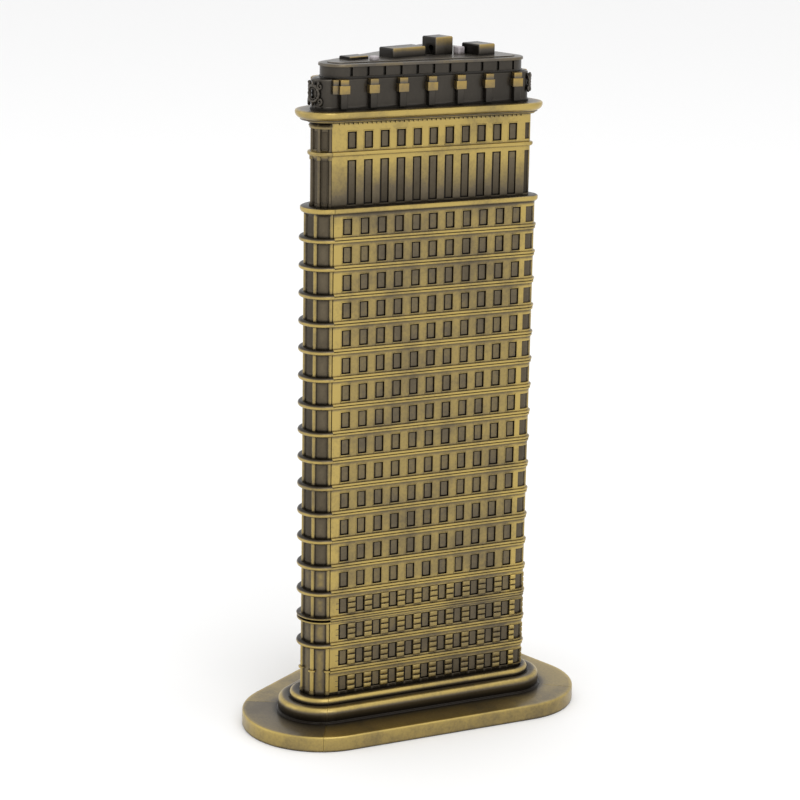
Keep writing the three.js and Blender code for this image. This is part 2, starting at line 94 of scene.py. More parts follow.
BAY_DEPTH = 0.6
BAY_PANE_SINK = 0.14
COLUMN_RADIUS = 0.55
COLUMN_ANGLES = [math.radians(a) for a in (-69, -23, 23, 69)]

LEDGE_HEIGHT = 1.55
LOGGIA = -1.7
LOGGIA_SKIN = -2.7
TALL_WINDOW_HEIGHT = 11.45
LOGGIA_OPENING = 2.27 + 0.2  # with its drafted edges
LOGGIA_FIRST_COLUMN = 5.6
LOGGIA_LAST_COLUMN = 4.47
LOGGIA_BAND_HEIGHT = 1.13
SMALL_WINDOW_HEIGHT = 4.44
DENTIL_HEIGHT = 0.9
DENTIL_RELIEF = 0.4
DENTIL_PITCH = 1.25
DENTIL_HALF = 0.36
DENTIL_RUN = 1.6  # dentils carry on past the middles of the end windows
BED_HEIGHT = 0.6

BASE_MARGIN = 15.4
FELT_MARGIN = 2.6
PLATE_HEIGHT = 4.2
JOINT_EDGE = 0.14  # strip beside a joint whose tone is made brighter

CORNICE_RELIEF = 2.25
ATTIC = -1.85
SIDE_PIERS = 7
REAR_PIERS = 5
FIRST_PIER = 2.81
PIER_END = 2.3
PIER_WIDTH, PIER_RELIEF = 1.9, 1.5
BLOCK_WIDTH, BLOCK_RELIEF = 2.85, 1.85
BLOCK_FOOT, BLOCK_TOP = 3.6, 1.45  # below the top of the attic
CAP_WIDTH, CAP_RELIEF = 2.3, 1.75
CAP_FOOT = 1.9
PROW_BLOCK_PLACE = 0.75  # from the end of the prow round
PROW_BLOCK_WIDTH, PROW_BLOCK_RELIEF = 1.9, 1.1
PROW_CAP_WIDTH, PROW_CAP_RELIEF = 1.6, 1.0

PARAPET = -1.95
PARAPET_ROUND = 4.8
PARAPET_WALL = 1.8
LIP_RELIEF = 0.4
LIP_HEIGHT = 0.8
FIRST_SLOT = 5.24
SLOT_END = 4.67
SLOT_HALF, SLOT_FRAME_HALF = 0.38, 0.45

PORTHOLE_RADIUS = 0.8
PORTHOLE_SHIFT = 0.92  # from the middle of the face
PORTHOLE_RISE = 1.4
PORTHOLE_DEPTH = 1.3

# How finely the meshes are cut.
RELIEF_STEP = 0.3  # along a round, on walls cut in relief
SLAB_STEP = 0.35  # along a round, on slabs
FLAT_STEP = 3.0
LEAST_STEP = 0.004
PORTHOLE_SIDES = 28
BAR_SIDES = 10
SHARP_ANGLE = 38

WALL_FOOT, WALL_TOP = edges("wall_right")
UPPER_STEP_TOP = edges("base_right")[1]
FIRST_SILL = WALL_FOOT + 0.35
SILLS = [FIRST_SILL + FLOOR_HEIGHT * k for k in range(FLOORS)]
LEDGE_FOOT = SILLS[-1] + WINDOW_HEIGHT + 1.24
LEDGE_TOP = LEDGE_FOOT + LEDGE_HEIGHT
LOGGIA_FOOT = LEDGE_TOP - 0.3  # the loggia wall laps the back of the ledge
TALL_SILL = LEDGE_TOP + 0.35
LOGGIA_BAND_FOOT = TALL_SILL + TALL_WINDOW_HEIGHT + 1.12
SMALL_SILL = LOGGIA_BAND_FOOT + LOGGIA_BAND_HEIGHT + 0.56
BED_FOOT = WALL_TOP - BED_HEIGHT
DENTIL_FOOT = BED_FOOT - DENTIL_HEIGHT
FRIEZE_FOOT = DENTIL_FOOT - 0.3


# ---- plan ----

class Plan:
    """An outline of the tower with round prow and rear corners, by distance from the middle of the prow."""

    def __init__(self, prow_radius, corner_radius):
        self.prow_radius, self.corner_radius = prow_radius, corner_radius
        self.prow_y = PROW_Y + (prow_radius - PROW_RADIUS) / SIN
        self.corner_y = REAR_Y - corner_radius
        self.corner_x = (PROW_RADIUS - corner_radius + (self.corner_y - PROW_Y) * SIN) / COS
        self.side_length = (self.corner_y - self.prow_y + (prow_radius - corner_radius) * SIN) / COS
        self.side = prow_radius * (math.pi / 2 - HALF_ANGLE)
        self.corner = self.side + self.side_length
        self.rear = self.corner + corner_radius * (math.pi / 2 + HALF_ANGLE)
        self.end = self.rear + self.corner_x
        self.joint = self.corner + corner_radius * (BISECTOR + HALF_ANGLE)

    def at(self, s):
        """Points of the outline, and the directions that face straight out there."""
        s = (np.asarray(s, float) + self.end) % (2 * self.end) - self.end
        d = np.abs(s)
        turn = np.clip(d, 0, self.side) / self.prow_radius - math.pi / 2
        turn = turn + np.clip(d - self.corner, 0, self.rear - self.corner) / self.corner_radius
        out = np.stack([np.cos(turn), np.sin(turn)], -1)
        prow = np.stack([self.prow_radius * out[..., 0], self.prow_y + self.prow_radius * out[..., 1]], -1)
        along = np.clip(d - self.side, 0, self.side_length)[..., None] * np.array([SIN, COS])
        corner = np.array([self.corner_x, self.corner_y]) + self.corner_radius * out
        rear = corner - np.stack([np.clip(d - self.rear, 0, None), np.zeros_like(d)], -1)
        point = np.where((d > self.corner)[..., None], rear, prow + along)
        mirror = np.stack([np.where(s < 0, -1.0, 1.0), np.ones_like(d)], -1)
        return point * mirror, out * mirror


PLAN = Plan(PROW_RADIUS, WALL_CORNER_RADIUS)  # the walls
OUTER_PLAN = Plan(PROW_RADIUS, CORNER_RADIUS)  # the base, the cornice and the attic
PARAPET_PLAN = Plan(PARAPET_ROUND - PARAPET, PARAPET_ROUND - PARAPET)
REAR_JOINT = PLAN.joint
CORNER_REACH = (PLAN.rear - PLAN.corner) / 2


def prow_joint(offset):
    """Where the prow joint, at 45 degrees to the axis, crosses the outline moved out by offset."""
    radius = PROW_RADIUS + offset
    rise = PROW_RADIUS * (COS - SIN)
    reach = (rise + math.sqrt(2 * radius ** 2 - rise ** 2)) / 2
    return PROW_RADIUS * math.atan2(reach, reach - rise)


def spread(count, first, last):
    return [first + (last - first) * i / (count - 1) for i in range(count)]


def arc_places(start, stop, step):
    """Places that keep a round stretch smooth."""
    return list(np.linspace(start, stop, max(2, round(abs(stop - start) / step) + 1)))


# ---- meshes ----

class Build:
    """Vertices, faces and the tone of the plate at each vertex, from 0, blackened, to 1, bright: partly the
    blackening left in the hollows, partly painted highlights and painted shade.
    """

    def __init__(self):
        self.points, self.tones, self.faces = [], [], []

    def add(self, points, tones):
        start = len(self.points)
        self.points += [tuple(p) for p in np.asarray(points, float).reshape(-1, 3)]
        self.tones += [float(t) for t in np.asarray(tones, float).reshape(-1)]
        return start

    def face(self, *corners):
        self.faces.append(tuple(int(i) for i in corners))

    def grid(self, points, tones, loop=False, wrap=False):
        """Quads over an array of points, rows upwards; loop closes the rows and wrap closes the columns."""
        n, m = points.shape[:2]
        ids = self.add(points, tones) + np.arange(n * m).reshape(n, m)
        if loop:
            ids = np.concatenate([ids, ids[:1]])
        if wrap:
            ids = np.concatenate([ids, ids[:, :1]], 1)
        quads = np.stack([ids[:-1, :-1], ids[1:, :-1], ids[1:, 1:], ids[:-1, 1:]], -1)
        self.faces += [tuple(int(i) for i in q) for q in quads.reshape(-1, 4)]
        return ids


def make(name, build, material, replaced):
    """A piece from a build, with soft edges shaded as they are modelled."""
    mesh = bpy.data.meshes.new(name)
    mesh.from_pydata([tuple(c * MM for c in p) for p in build.points], [], build.faces)
    tone = mesh.attributes.new("tone", "FLOAT", "POINT")
    tone.data.foreach_set("value", np.array(build.tones, np.float32))
    mesh.validate()
    mesh.polygons.foreach_set("use_smooth", [True] * len(mesh.polygons))
    mesh.set_sharp_from_angle(angle=math.radians(SHARP_ANGLE))
    mesh.materials.append(material)
    piece = bpy.data.objects.new(name, mesh)
    bpy.context.scene.collection.objects.link(piece)
    weighted = piece.modifiers.new("edge shading", "WEIGHTED_NORMAL")
    weighted.keep_sharp = True
    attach(piece, "root")
    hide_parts(*replaced)
    return piece


def mirrored(build):
    """The same build on the other side of the tower."""
    other = Build()
    other.points = [(-x, y, z) for x, y, z in build.points]
    other.tones = list(build.tones)
    other.faces = [tuple(reversed(f)) for f in build.faces]
    return other


# ---- relief: a wall as a field of heights, pressed and raised by the tools that cut the mould ----

SOFT = [0, 0.07, 0.17]  # a struck edge: a small round, then the drafted side
SOFT_SHARE = [0, 0.1, 1]
PILLOW = [0, 0.14, 0.42]
PILLOW_SHARE = [0, 0.65, 1]
BAY = [0, 0.15, 0.6, 1.3]  # a pane painted brightest in its middle, a painted highlight
BAY_SHARE = [0, 0.4, 0.75, 1]
CRISP = [0, 0.07]
CRISP_SHARE = [0, 1]


def sorted_places(values, low, high):
    """The values from low to high in order, with none closer together than the least step."""
    kept = np.array(sorted({round(v, 4) for v in values if low - 1e-6 <= v <= high + 1e-6}))
    kept = kept[np.concatenate([[True], np.diff(kept) > LEAST_STEP])]
    kept[-1] = high
    return kept


class Relief:
    """One storey or more of one casting."""

    def __init__(self, start, stop, foot, top, ground, tone=1.0, fade=None):
        self.start, self.stop, self.foot, self.top = start, stop, foot, top
        self.ground, self.tone, self.fade = ground, tone, fade
        self.stamps = []
        self.columns, self.rows = {start, stop}, {foot, top}

    def stamp(self, s0, s1, z0, z1, level, shape=SOFT, share=SOFT_SHARE, tone=None, raised=False):
        """A rectangle brought to a level; raised adds the level to what is there."""
        self.stamps.append(("block", (s0, s1, z0, z1), level, shape, share, tone, raised))
        self.columns |= {s0 + x for x in shape} | {s1 - x for x in shape}
        self.rows |= {z0 + x for x in shape} | {z1 - x for x in shape}

    def course(self, z0, profile, tone=None):
        """A moulding along the wall, whose heights are above z0; tone serves a profile that has none."""
        self.stamps.append(("course", z0, profile, tone))
        self.rows |= {z0 + point[0] for point in profile}

    def column(self, middle, radius, z0, z1, root, tone=None):
        """A half-round column that stands on the level root."""
        self.stamps.append(("column", middle, radius, z0, z1, root, tone))
        self.columns |= {middle + radius * x for x in (-1, -0.95, -0.8, -0.5, -0.2, 0.2, 0.5, 0.8, 0.95, 1)}
        self.rows |= {z0 - 0.03, z0, z1, z1 + 0.03}

    def field(self):
        """Places along the wall, heights, and the relief and the tone at each crossing of them."""
        s = sorted_places(self.columns, self.start, self.stop)
        z = sorted_places(self.rows, self.foot, self.top)
        S, Z = np.meshgrid(s, z, indexing="ij")
        depth, tone = np.full(S.shape, float(self.ground)), np.full(S.shape, float(self.tone))
        for kind, *stamp in self.stamps:
            if kind == "block":
                (s0, s1, z0, z1), level, shape, share, shade, raised = stamp
                inside = np.minimum(np.minimum(Z - z0, z1 - Z), np.minimum(S - s0, s1 - S))
                part = np.interp(inside, shape, share, left=0)
                depth += level * part if raised else (level - depth) * part
                if shade is not None:
                    tone += (shade - tone) * part
            elif kind == "course":
                z0, profile, shade = stamp
                heights, reliefs, *shades = zip(*profile)
                held = (Z >= z0 + heights[0] - 1e-6) & (Z <= z0 + heights[-1] + 1e-6)
                level = np.interp(Z - z0, heights, reliefs)
                higher = held & (level > depth)
                depth = np.where(higher, level, depth)
                if shades:
                    tone = np.where(higher, np.interp(Z - z0, heights, shades[0]), tone)
                elif shade is not None:
                    tone = np.where(higher, shade, tone)
            else:
                middle, radius, z0, z1, root, shade = stamp
                across = np.clip(1 - ((S - middle) / radius) ** 2, 0, None)
                held = np.abs(S - middle) <= radius + 1e-6
                held &= (Z >= z0 - 1e-6) & (Z <= z1 + 1e-6)
                level = root + radius * np.sqrt(across)
                higher = held & (level > depth)
                depth = np.where(higher, level, depth)
                if shade is not None:
                    tone = np.where(higher, tone + (shade - tone) * np.sqrt(across), tone)
        if self.fade:
            tone = tone * np.interp(Z, *zip(*self.fade))
        return s, z, depth, tone

    def cast(self, build, inner, plan=PLAN):
        """Adds the closed wall: the relief outside, a plain skin inside, and what joins them."""
        s, z, depth, tone = self.field()
        whole = self.stop - self.start > 2 * plan.end - 1e-3  # it runs all the way round
        if whole:
            s, depth, tone = s[:-1], depth[:-1], tone[:-1]
        point, out = plan.at(s)
        flat = point[:, None, :] + out[:, None, :] * depth[:, :, None]
        height = np.broadcast_to(z, depth.shape)[..., None]
        outer = build.grid(np.concatenate([flat, height], -1), tone, loop=whole)
        back = point + out * inner
        skin = np.stack([np.column_stack([back, np.full(len(s), z[k])]) for k in (0, -1)], 1)
        inside = build.add(skin, np.zeros(2 * len(s))) + np.arange(2 * len(s)).reshape(len(s), 2)
        if whole:
            inside = np.concatenate([inside, inside[:1]])
        for i in range(len(inside) - 1):
            build.face(inside[i, 0], inside[i, 1], inside[i + 1, 1], inside[i + 1, 0])
            build.face(outer[i, 0], inside[i, 0], inside[i + 1, 0], outer[i + 1, 0])
            build.face(outer[i + 1, -1], inside[i + 1, -1], inside[i, -1], outer[i, -1])
        if not whole:
            build.face(*outer[0], inside[0, 1], inside[0, 0])
            build.face(*outer[-1, ::-1], inside[-1, 0], inside[-1, 1])


# Mouldings as (height, relief, tone), or (height, relief) where the tone is the caller's or the wall's. Their
# tones are painted light: highlights on the rounds, and painted shadow lines at the grooves and edges of the
# bands and rings.
FLOOR_BAND = [
    (0, 0, 0.4), (0.04, 0.26, 0.9), (0.1, 0.32, 1), (0.58, 0.33, 0.9), (0.63, 0.14, 0.3), (0.78, 0.14, 0.3),
    (0.82, 0.42, 1), (0.88, 0.48, 1), (1.3, 0.48, 1), (1.4, 0.4, 0.6), (1.48, 0, 0.3),
]
WIDE_BAND = [
    (-0.5, 0, 0.5), (-0.45, 0.2, 0.75), (-0.05, 0.22, 0.75), (0.02, 0.1, 0.55), (0.2, 0.1, 0.55),
    (0.27, 0.32, 0.85), (0.65, 0.32, 0.85), (0.72, 0.18, 0.55), (0.9, 0.18, 0.55), (0.97, 0.46, 1),
    (1.38, 0.47, 0.9), (1.48, 0, 0.4),
]
LEDGE = [
    (0, 0, 0.15), (0.05, 0.45, 0.4), (0.3, 0.68, 0.9), (0.55, 0.8, 1), (1.1, 0.8, 1), (1.3, 0.76, 1),
    (1.42, 0.6, 0.45), (1.55, 0.36, 0.12),
]
FLOOR_RING = [
    (0, -0.6, 0.1), (0.03, 0.6, 0.4), (0.15, 0.86, 0.7), (0.35, 1.0, 0.95), (0.6, 1.07, 1), (0.85, 1.04, 0.8),
    (1.0, 0.98, 0.35), (1.2, 0.86, 0.1), (1.38, 0.62, 0.05), (1.45, 0.3, 0), (1.48, -0.6, 0),
]
DOUBLE_RING = [
    (-0.3, -0.6, 0.1), (-0.28, 0.7, 0.5), (-0.1, 0.95, 0.95), (0.2, 0.95, 0.95), (0.4, 0.7, 0.2),
    (0.42, -0.2, 0), (0.78, -0.2, 0), (0.8, 0.7, 0.5), (0.95, 1.0, 0.95), (1.2, 1.07, 0.8),
    (1.42, 0.8, 0.1), (1.48, -0.6, 0),
]
LOGGIA_RING = [
    (0, -1.7), (0.04, -1.25), (0.2, -1.05), (0.45, -0.97), (0.8, -0.97), (1.0, -1.08), (1.13, -1.7),
]
BED = [(0, -1.7, 0.1), (0.02, -0.9, 0.15), (0.2, -0.62, 0.3), (0.36, -0.5, 1), (0.6, -0.5, 0.9)]


def windows(wall, columns, width, foot, height, level, tone, framed):
    """Sunk windows: a dark drafted edge round a paler pane; framed ones have a thin raised frame too."""
    for middle in columns:
        s0, s1, top = middle - width / 2, middle + width / 2, foot + height
        if framed:
            border = (s0 - WINDOW_FRAME, s1 + WINDOW_FRAME, foot - WINDOW_FRAME, top + WINDOW_FRAME)
            wall.stamp(*border, 0.1, CRISP, CRISP_SHARE, raised=True)
        wall.stamp(s0, s1, foot, top, level, CRISP, [0.15, 1], tone=0)
        pane = (s0 + PANE_START, s1 - PANE_STOP, foot + PANE_FOOT, top - PANE_HEAD)
        wall.stamp(*pane, 0.1, CRISP, CRISP_SHARE, tone=tone, raised=True)


def pillows(wall, gaps, foot):
    """Three rounded stone courses on each pier between windows; the strip by the prow is only notched."""
    course = (WINDOW_HEIGHT + 0.3) / 3
    for strip, (s0, s1) in enumerate(gaps):
        if strip == 0:
            s0 = s1 - 0.9
        for k in range(3):
            z0 = foot - 0.15 + k * course
            if strip:
                stone = (s0, s1, z0 + 0.04, z0 + course - 0.04)
                wall.stamp(*stone, 0.4, PILLOW, PILLOW_SHARE, raised=True)
            if k:
                wall.stamp(s0, s1, z0 - 0.12, z0 + 0.12, -0.02, CRISP, CRISP_SHARE, tone=0.42)


def round_columns(wall, plan=PLAN):
    """Extra places along the stretches of a casting that follow the prow or a round corner."""
    far = 2 * plan.end
    rounds = [(-plan.side, plan.side), (plan.corner, plan.rear), (far - plan.rear, far - plan.corner)]
    for low, high in rounds:
        a, b = max(low, wall.start), min(high, wall.stop)
        if b > a:
            wall.columns |= set(arc_places(a, b, RELIEF_STEP))


def facade(start, stop, columns, loggia_columns, corners):
    """One flat side of the tower, from foot to cornice; corners are the ends of its corner windows."""
    build = Build()
    split = SILLS[RUSTIC_FLOORS] - SILL_STRIP / 2
    half = WINDOW_WIDTH / 2

    # Painted shadow: the foot of the wall, below the first sill, is painted dark where it meets the base.
    fade = [(FIRST_SILL - 0.1, 0.15), (FIRST_SILL + 0.1, 1)]
    rustic = Relief(start, stop, UPPER_STEP_TOP - FOOT_TENON, split, 0, fade=fade)
    pier_edges = [start + 0.05]
    for middle in columns:
        pier_edges += [middle - half - 0.05, middle + half + 0.05]
    pier_edges.append(stop - 0.05)
    gaps = list(zip(pier_edges[::2], pier_edges[1::2]))
    plain = Relief(start, stop, split, LEDGE_TOP, 0)
    for wall, low, high in ((rustic, WALL_FOOT, split), (plain, split, LEDGE_FOOT)):
        shaded = (columns[0] - half, columns[-1] + half, low - 1, high + 1)
        wall.stamp(*shaded, 0, [0, 2], [0, 1], tone=0.72, raised=True)
    for sill in SILLS[:RUSTIC_FLOORS]:
        pillows(rustic, gaps, sill)
        windows(rustic, columns, WINDOW_OPENING, sill, WINDOW_HEIGHT, -WINDOW_DEPTH, 0.48, False)
    for k in range(1, RUSTIC_FLOORS + 1):
        profile = WIDE_BAND if k == RUSTIC_FLOORS - 1 else FLOOR_BAND
        rustic.course(SILLS[k] - SILL_STRIP - BAND_HEIGHT, profile)

    for sill in SILLS[RUSTIC_FLOORS:]:
        windows(plain, columns, WINDOW_OPENING, sill, WINDOW_HEIGHT, -WINDOW_DEPTH, 0.48, True)
        if sill > SILLS[RUSTIC_FLOORS]:
            plain.course(sill - SILL_STRIP - BAND_HEIGHT, FLOOR_BAND)
    plain.course(LEDGE_FOOT, LEDGE)

    fade = [(LEDGE_TOP, 0.2), (LEDGE_TOP + 1.5, 0.5), (LEDGE_TOP + 6, 0.85), (LOGGIA_BAND_FOOT, 1)]
    loggia = Relief(start, stop, LOGGIA_FOOT, FRIEZE_FOOT, LOGGIA, fade=fade)
    frieze = Relief(start, stop, FRIEZE_FOOT, WALL_TOP, LOGGIA)
    floor = LOGGIA - WINDOW_DEPTH
    windows(loggia, loggia_columns, LOGGIA_OPENING, TALL_SILL, TALL_WINDOW_HEIGHT, floor, 0.5, False)
    windows(loggia, loggia_columns, LOGGIA_OPENING, SMALL_SILL, SMALL_WINDOW_HEIGHT, floor, 0.4, True)
    loggia.course(LOGGIA_BAND_FOOT, LOGGIA_RING)
    frieze.course(BED_FOOT, BED)
    middle = (columns[0] + columns[-1]) / 2
    reach = (columns[-1] - columns[0]) / 2 + DENTIL_RUN
    for place in spread(round(2 * reach / DENTIL_PITCH), middle - reach, middle + reach):
        dentil = (place - DENTIL_HALF, place + DENTIL_HALF, DENTIL_FOOT + 0.25, BED_FOOT + 0.1)
        frieze.stamp(*dentil, LOGGIA + DENTIL_RELIEF)

    for wall, sills in ((rustic, SILLS[:RUSTIC_FLOORS]), (plain, SILLS[RUSTIC_FLOORS:])):
        for sill in sills:
            for s0, s1 in corners:
                wall.stamp(s0, s1, sill, sill + WINDOW_HEIGHT, -WINDOW_DEPTH, tone=0.34)
    for s0, s1 in corners:
        loggia.stamp(s0, s1, TALL_SILL, TALL_SILL + TALL_WINDOW_HEIGHT, floor, tone=0.25)
        loggia.stamp(s0, s1, SMALL_SILL, SMALL_SILL + SMALL_WINDOW_HEIGHT, floor, tone=0.25)
    for wall, inner in ((rustic, -WALL), (plain, -WALL), (loggia, LOGGIA_SKIN), (frieze, LOGGIA_SKIN)):
        round_columns(wall)
        wall.cast(build, inner)
    return build


def side_facade():
    """The right side; the left one mirrors it."""
    columns = spread(SIDE_COLUMNS, PLAN.side + SIDE_FIRST_COLUMN, PLAN.corner - SIDE_LAST_COLUMN)
    loggia = spread(SIDE_COLUMNS, PLAN.side + LOGGIA_FIRST_COLUMN, PLAN.corner - LOGGIA_LAST_COLUMN)
    corners = [(REAR_JOINT - CORNER_REACH - CORNER_WINDOW_RUN, REAR_JOINT - MULLION / 2)]
    return facade(PLAN.side + SEAM / 2, REAR_JOINT - SEAM / 2, columns, loggia, corners)


def rear_facade():
    """The rear wall, from the middle of one rear corner to the middle of the other."""
    far = 2 * PLAN.end
    columns = spread(REAR_COLUMNS, PLAN.rear + REAR_FIRST_COLUMN, far - PLAN.rear - REAR_FIRST_COLUMN)
    loggia = spread(REAR_COLUMNS, PLAN.rear + LOGGIA_LAST_COLUMN, far - PLAN.rear - LOGGIA_LAST_COLUMN)
    right = (REAR_JOINT + MULLION / 2, REAR_JOINT + CORNER_REACH + CORNER_WINDOW_RUN)
    corners = [right, (far - right[1], far - right[0])]
    return facade(REAR_JOINT + SEAM / 2, far - REAR_JOINT - SEAM / 2, columns, loggia, corners)


def prow_facade():
    """The rounded prow: three tall bays between half-round columns, crossed by floor rings."""
    build = Build()
    reach = PLAN.side - SEAM / 2
    places = [PROW_RADIUS * a for a in COLUMN_ANGLES]
    bays = list(zip(places, places[1:]))
    wall = Relief(-reach, reach, UPPER_STEP_TOP - FOOT_TENON, LEDGE_TOP, -BAY_DEPTH, tone=0.2)
    for k, sill in enumerate(SILLS[1:]):
        foot = SILLS[0] if k == 0 else sill - 0.1  # the lowest bays are two floors high
        for left, right in bays:
            s0, s1 = left + COLUMN_RADIUS + 0.2, right - COLUMN_RADIUS - 0.2
            low_tone, high_tone = (0.5, 0.2) if left * right < 0 else (0.6, 0.4)  # the middle bay is darker
            tone = low_tone if k < RUSTIC_FLOORS else high_tone
            pane = (s0, s1, foot, sill + WINDOW_HEIGHT + 0.55)
            wall.stamp(*pane, -BAY_PANE_SINK, BAY, BAY_SHARE, tone=tone, raised=True)
    column = [
        (0.62, wall.foot, LEDGE_TOP, 0.85),  # the shaft
        (0.72, SILLS[0] - 0.4, SILLS[2] - SILL_STRIP - BAND_HEIGHT, 0.95),  # stouter beside the lowest bays
        (1.2, SILLS[1] - 1.35, SILLS[1] - 0.9, 1),  # the capital
        (0.9, SILLS[0] - 0.5, SILLS[0] + 0.4, 0.6),  # the plinth
    ]
    for place in places:
        for radius, low, high, tone in column:
            wall.column(place, radius, low, high, -BAY_DEPTH, tone=tone)
    for k in range(2, FLOORS):
        profile = DOUBLE_RING if k == RUSTIC_FLOORS - 1 else FLOOR_RING
        wall.course(SILLS[k] - SILL_STRIP - BAND_HEIGHT, profile)
    wall.course(LEDGE_FOOT, LEDGE)

    floor = LOGGIA - BAY_DEPTH
    loggia = Relief(-reach, reach, LOGGIA_FOOT, WALL_TOP, floor, tone=0.25)
    for left, right in bays:
        s0, s1 = left + COLUMN_RADIUS + 0.45, right - COLUMN_RADIUS - 0.45
        for low, high in (
            (TALL_SILL + 0.3, TALL_SILL + TALL_WINDOW_HEIGHT), (SMALL_SILL, SMALL_SILL + SMALL_WINDOW_HEIGHT),
        ):
            loggia.stamp(s0, s1, low, high, -BAY_PANE_SINK, tone=0.24, raised=True)
    column = [
        (0.7, LOGGIA_FOOT, WALL_TOP, 0.45),  # the shaft
        (0.95, LOGGIA_BAND_FOOT - 1.0, LOGGIA_BAND_FOOT, 0.6),  # the capital
        (0.95, LOGGIA_FOOT, LEDGE_TOP + 0.8, 0.3),  # the plinth
    ]
    for place in places:
        for radius, low, high, tone in column:
            loggia.column(place, radius, low, high, floor, tone=tone)
    loggia.course(LOGGIA_BAND_FOOT, LOGGIA_RING, tone=0.75)
    loggia.course(DENTIL_FOOT - 0.6, [
        (0, floor), (0.02, -1.45), (0.55, -1.4), (0.6, -1.2), (1.5, -1.15),
    ], tone=0.6)
    loggia.course(BED_FOOT, BED)
    for field, inner in ((wall, -WALL), (loggia, LOGGIA - WALL)):
        round_columns(field)
        field.cast(build, inner)
    return build


# ---- base ----

# Each profile is (offset from the walls, height, tone), from the inside of the foot up to the walls. The
# tones paint highlights on the rounds of the plate's edge and of the two steps, painted shade below the
# rounds, and a painted shadow on the plate at the foot of the lower step.
PLATE_PROFILE = [
    (0.05, 1.5, 0.3), (BASE_MARGIN - FELT_MARGIN + 0.3, 1.5, 0.3), (BASE_MARGIN - FELT_MARGIN + 0.3, 0, 0.4),
    (15.05, 0, 0.5), (15.3, 0.08, 0.7), (15.4, 0.3, 0.66), (15.4, 0.9, 0.74), (15.4, 1.9, 0.76),
    (15.4, 2.9, 0.8), (15.4, 3.7, 0.88), (15.34, 3.96, 1), (15.18, 4.13, 1), (14.95, PLATE_HEIGHT, 0.95),
    (14.2, PLATE_HEIGHT, 0.72), (12.5, PLATE_HEIGHT, 0.66), (10.5, PLATE_HEIGHT, 0.64),
    (8.8, PLATE_HEIGHT, 0.6), (7.6, PLATE_HEIGHT, 0.5), (6.9, PLATE_HEIGHT, 0.26), (6.35, PLATE_HEIGHT, 0.1),
]
LOWER_PROFILE = [
    (6.22, 4.16, 0), (6.0, 4.3, 0.05), (5.98, 4.5, 0.05), (5.8, 4.62, 0), (5.8, 5.4, 0.05),
    (5.86, 5.7, 0.1), (5.86, 6.4, 0.2), (5.84, 6.9, 0.4), (5.7, 7.35, 0.75), (5.42, 7.76, 1),
    (5.0, 8.04, 0.8), (4.5, 8.17, 0.45), (4.0, 8.2, 0.22), (3.3, 8.16, 0.1), (2.95, 8.0, 0),
]
UPPER_PROFILE = [
    (2.72, 8.0, 0), (2.66, 8.5, 0.35), (2.7, 8.85, 0.75), (2.6, 9.2, 1), (2.38, 9.5, 1), (2.0, 9.7, 0.6),
    (1.6, 9.75, 0.25), (1.2, 9.74, 0.1), (0.2, 9.64, 0.02), (0.05, 9.6, 0),
]


def base_casting(side):
    """One quarter of the base, between its two joints: the profile carried along the outline."""
    build = Build()
    profile = PLATE_PROFILE + LOWER_PROFILE + UPPER_PROFILE
    rows, tones = [], []
    for offset, height, tone in profile:
        trim = SEAM / 2 * PROW_RADIUS / (PROW_RADIUS + offset)
        plan = OUTER_PLAN if offset > 1 else PLAN  # its top follows the walls
        joint = prow_joint(offset)
        if side == "prow":
            s = np.linspace(trim - joint, joint - trim, 49)
        elif side == "right":
            flat = np.linspace(plan.side, plan.corner, 25)[1:-1]
            s = np.concatenate([
                np.linspace(joint + trim, plan.side, 14), flat,
                np.linspace(plan.corner, plan.joint - trim, 17),
            ])
        else:
            far = 2 * plan.end
            turn = np.linspace(plan.joint + trim, plan.rear, 17)
            flat = np.linspace(plan.rear, far - plan.rear, 17)[1:-1]
            s = np.concatenate([turn, flat, (far - turn)[::-1]])
        edge = JOINT_EDGE * PROW_RADIUS / (PROW_RADIUS + offset)
        s = np.concatenate([s[:1], s[:1] + edge, s[1:-1], s[-1:] - edge, s[-1:]])
        point, out = plan.at(s)
        rows.append(np.column_stack([point + out * offset, np.full(len(s), height)]))
        dimming = 0.7 if side == "prow" and height == PLATE_HEIGHT else 1  # painted shade: the top of the plate is painted darker at the front
        shades = np.full(len(s), tone * dimming)
        shades[[0, -1]] = max(tone, min(1.0, tone * 1.6 + 0.1))  # the joint's edges are made brighter
        tones.append(shades)
    ids = build.grid(np.stack(rows, 1), np.stack(tones, 1), wrap=True)
    build.face(*ids[0, :-1])
    build.face(*ids[-1, -2::-1])
    return build


# ---- crown ----

def loop_places(plan):
    """Places all the way round an outline."""
    far = 2 * plan.end
    near = [-plan.side, plan.side, plan.corner, plan.rear]
    turns = near + [far - s for s in near[:0:-1]]
    places = []
    for k, (start, stop) in enumerate(zip(turns, turns[1:])):
        places += arc_places(start, stop, FLAT_STEP if k % 2 else SLAB_STEP)[:-1]
    return places


def stack(build, points, tones):
    """A closed solid from closed outlines one above another, with a flat face at each end."""
    n, m = points.shape[:2]
    ids = build.add(points, tones) + np.arange(n * m).reshape(n, m)
    ids = np.concatenate([ids, ids[:, :1]], 1)
    quads = np.stack([ids[:-1, :-1], ids[:-1, 1:], ids[1:, 1:], ids[1:, :-1]], -1)
    build.faces += [tuple(int(i) for i in q) for q in quads.reshape(-1, 4)]
    build.face(*ids[0, -2::-1])
    build.face(*ids[-1, :-1])


def slab(build, plan, profile, foot):
    """A slab whose edge is a profile of (offset, height above foot, tone), from its underside to its top."""
    s = np.array(loop_places(plan))
    point, out = plan.at(s)
    rows = [
        np.column_stack([point + out * offset, np.full(len(s), foot + rise)])
        for offset, rise, _ in profile
    ]
    stack(build, np.stack(rows, 0), np.stack([np.full(len(s), tone) for *_, tone in profile], 0))


